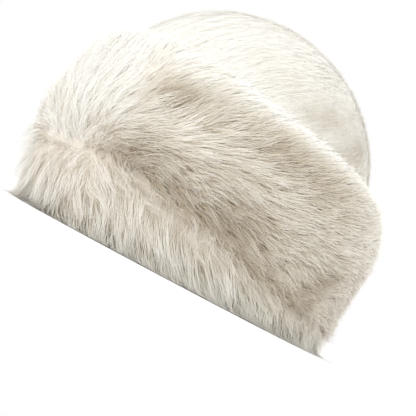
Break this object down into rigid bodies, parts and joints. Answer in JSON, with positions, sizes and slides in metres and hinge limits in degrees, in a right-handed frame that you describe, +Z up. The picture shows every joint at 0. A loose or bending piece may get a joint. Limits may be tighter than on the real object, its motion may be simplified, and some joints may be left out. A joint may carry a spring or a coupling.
{
  "type": "faux fur bucket hat",
  "caption": "Soft bucket hat of long cream faux fur, with a round crown and a thick drooping brim that stands on its rim.",
  "frame": {"origin": "under the middle of the hat, at the level of the rim that it stands on", "axes": "+Z up through the crown, -Y towards the hat's front, +X towards the wearer's left"},
  "size_m": [0.2588, 0.2876, 0.204],
  "materials": {
    "faux_fur": "long soft cream pile"
  },
  "bodies": {
    "root": {"crown_top": "faux_fur", "crown_side": "faux_fur", "brim_outer": "faux_fur", "brim_facing": "faux_fur"}
  },
  "joints": []
}
